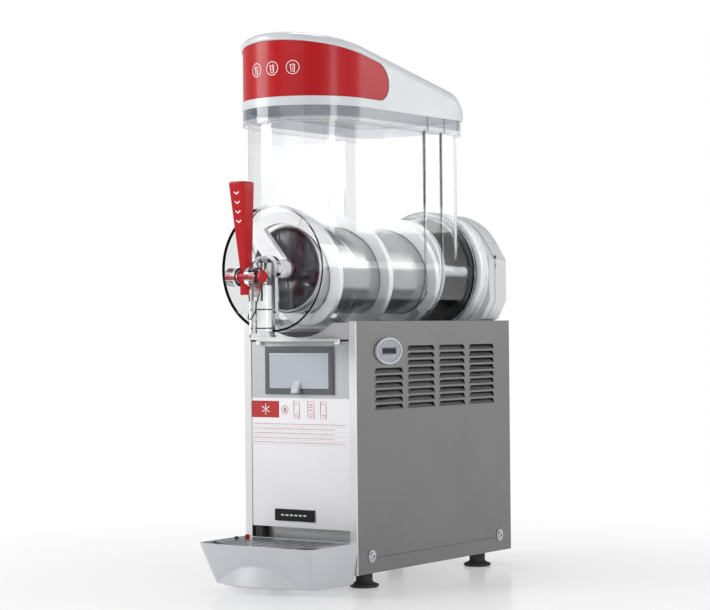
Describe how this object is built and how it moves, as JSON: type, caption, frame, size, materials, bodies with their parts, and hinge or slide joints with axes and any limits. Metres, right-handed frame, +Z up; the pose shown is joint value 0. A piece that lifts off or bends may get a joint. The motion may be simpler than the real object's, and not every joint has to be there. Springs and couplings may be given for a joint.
{
  "type": "slushie machine",
  "caption": "Countertop frozen drink machine: louvred steel cabinet, clear bowl with a spiral mixer on a chilled drum, lit lid, tap lever and drip tray.",
  "frame": {"origin": "on the counter, under the centre of the whole machine's box", "axes": "+Z up; +X to the right of someone facing the tap; +Y to the machine's back"},
  "size_m": [0.207, 0.5618, 0.7886],
  "materials": {
    "cabinet_steel": "satin dark grey sheet steel",
    "brushed_steel": "brushed stainless steel",
    "zinc_steel": "zinc-plated steel",
    "copper_pipe": "dull copper tube",
    "fin_aluminium": "mill finish",
    "black_paint": "semi-gloss black",
    "panel_grey": "smooth pale grey",
    "bezel_plastic": "fine-grained dark grey",
    "door_plastic": "pale blue grey",
    "black_plastic": "moulded black",
    "black_rubber": "matt",
    "white_plastic": "food-grade white",
    "light_grey_plastic": "moulded light grey",
    "lid_plastic": "moulded pale grey",
    "red_plastic": "gloss red",
    "clear_plastic": "clear polycarbonate",
    "frosted_plastic": "translucent",
    "seal_rubber": "white silicone",
    "display_glass": "dark window",
    "label_film": "printed film",
    "lamp_board": "white solder mask",
    "spring_steel": "bright wire"
  },
  "bodies": {
    "cabinet": {"side_panel_right": "cabinet_steel", "side_panel_left": "cabinet_steel", "front_panel_upper": "panel_grey", "front_panel_lower": "brushed_steel", "rear_panel": "cabinet_steel", "base_pan": "zinc_steel", "top_tray": "brushed_steel", "nose_clips": "white_plastic", "control_bezel": "bezel_plastic", "switch_plate": "black_plastic", "badge": "black_plastic", "instruction_label": "label_film", "display_bezel": "bezel_plastic", "display_window": "display_glass", "panel_screws": "zinc_steel", "compressor": "black_paint", "compressor_mounts": "black_rubber", "condenser": "fin_aluminium", "fan_shroud": "black_plastic", "fan_motor": "black_paint", "filter_drier": "copper_pipe", "electrical_box": "black_plastic", "refrigerant_pipes": "copper_pipe", "cable_gland": "black_plastic", "evaporator_drum": "brushed_steel", "evaporator_coil": "copper_pipe", "gear_plate": "zinc_steel", "gear_motor": "black_paint", "gear_housing": "light_grey_plastic", "rear_cover": "light_grey_plastic", "rear_dish": "black_plastic", "bowl_gasket": "seal_rubber", "shaft_seal": "black_rubber", "levelling_feet": "black_rubber", "shaft_bushes": "white_plastic"},
    "control_door": {"control_door": "door_plastic"},
    "power_rocker": {"power_switch": "black_plastic"},
    "light_rocker": {"light_switch": "black_plastic"},
    "mode_rocker": {"mode_switch": "black_plastic"},
    "fan": {"fan_blades": "fin_aluminium"},
    "mixer": {"auger": "white_plastic", "mixing_posts": "light_grey_plastic", "post_caps": "frosted_plastic", "mixer_nut": "white_plastic", "drive_shaft": "spring_steel", "output_gear": "white_plastic"},
    "pinion": {"motor_pinion": "zinc_steel"},
    "bowl_body": {"bowl": "clear_plastic", "lever_pin": "red_plastic", "tap_spring": "spring_steel"},
    "lid": {"lid_shell": "lid_plastic", "lid_graphic": "red_plastic", "lid_plate": "lid_plastic", "lid_lamp": "lamp_board"},
    "lever": {"tap_lever": "red_plastic"},
    "plunger": {"tap_plunger": "white_plastic", "plunger_rings": "black_rubber"},
    "tray": {"drip_tray": "light_grey_plastic"},
    "grille": {"drip_grille": "light_grey_plastic"},
    "float": {"float_indicator": "red_plastic"}
  },
  "joints": [
    {"name": "bowl_pull_off", "type": "slide", "parent": "cabinet", "child": "bowl_body", "axis": [0, -1, 0], "range_m": [0, 0.43]},
    {"name": "lid_lift_off", "type": "slide", "parent": "bowl_body", "child": "lid", "axis": [0, 0, 1], "range_m": [0, 0.12]},
    {"name": "lever_pull", "type": "hinge", "parent": "bowl_body", "child": "lever", "pos_m": [0, -0.2629, 0.441], "axis": [1, 0, 0], "range_deg": [0, 40], "stiffness_Nm_per_rad": 0.8, "springref_deg": -14.32, "deforming": ["tap_spring"]},
    {"name": "plunger_lift", "type": "slide", "parent": "bowl_body", "child": "plunger", "axis": [0, 0, 1], "range_m": [0, 0.02932]},
    {"name": "mixer_turn", "type": "hinge", "parent": "cabinet", "child": "mixer", "pos_m": [0, -0.1409, 0.454], "axis": [0, 1, 0], "continuous": true},
    {"name": "pinion_turn", "type": "hinge", "parent": "cabinet", "child": "pinion", "pos_m": [0, 0.2301, 0.3977], "axis": [0, 1, 0], "continuous": true},
    {"name": "fan_turn", "type": "hinge", "parent": "cabinet", "child": "fan", "pos_m": [0.0475, 0.1091, 0.288], "axis": [1, 0, 0], "continuous": true},
    {"name": "door_swing", "type": "hinge", "parent": "cabinet", "child": "control_door", "pos_m": [0, -0.1411, 0.3321], "axis": [-1, 0, 0], "range_deg": [0, 95]},
    {"name": "power_rock", "type": "hinge", "parent": "cabinet", "child": "power_rocker", "pos_m": [-0.032, -0.1279, 0.308], "axis": [1, 0, 0], "range_deg": [-9, 9]},
    {"name": "light_rock", "type": "hinge", "parent": "cabinet", "child": "light_rocker", "pos_m": [0, -0.1279, 0.308], "axis": [1, 0, 0], "range_deg": [-9, 9]},
    {"name": "mode_rock", "type": "hinge", "parent": "cabinet", "child": "mode_rocker", "pos_m": [0.032, -0.1279, 0.308], "axis": [1, 0, 0], "range_deg": [-9, 9]},
    {"name": "tray_slide", "type": "slide", "parent": "cabinet", "child": "tray", "axis": [0, -1, 0], "range_m": [0, 0.13]},
    {"name": "grille_lift", "type": "slide", "parent": "tray", "child": "grille", "axis": [0, 0, 1], "range_m": [0, 0.06]},
    {"name": "float_rise", "type": "slide", "parent": "tray", "child": "float", "axis": [0, 0, 1], "range_m": [0, 0.01]}
  ],
  "couplings": [
    {"joint": "plunger_lift", "follows": "lever_pull", "m_per_rad": 0.041708},
    {"joint": "pinion_turn", "follows": "mixer_turn", "ratio": -3}
  ]
}
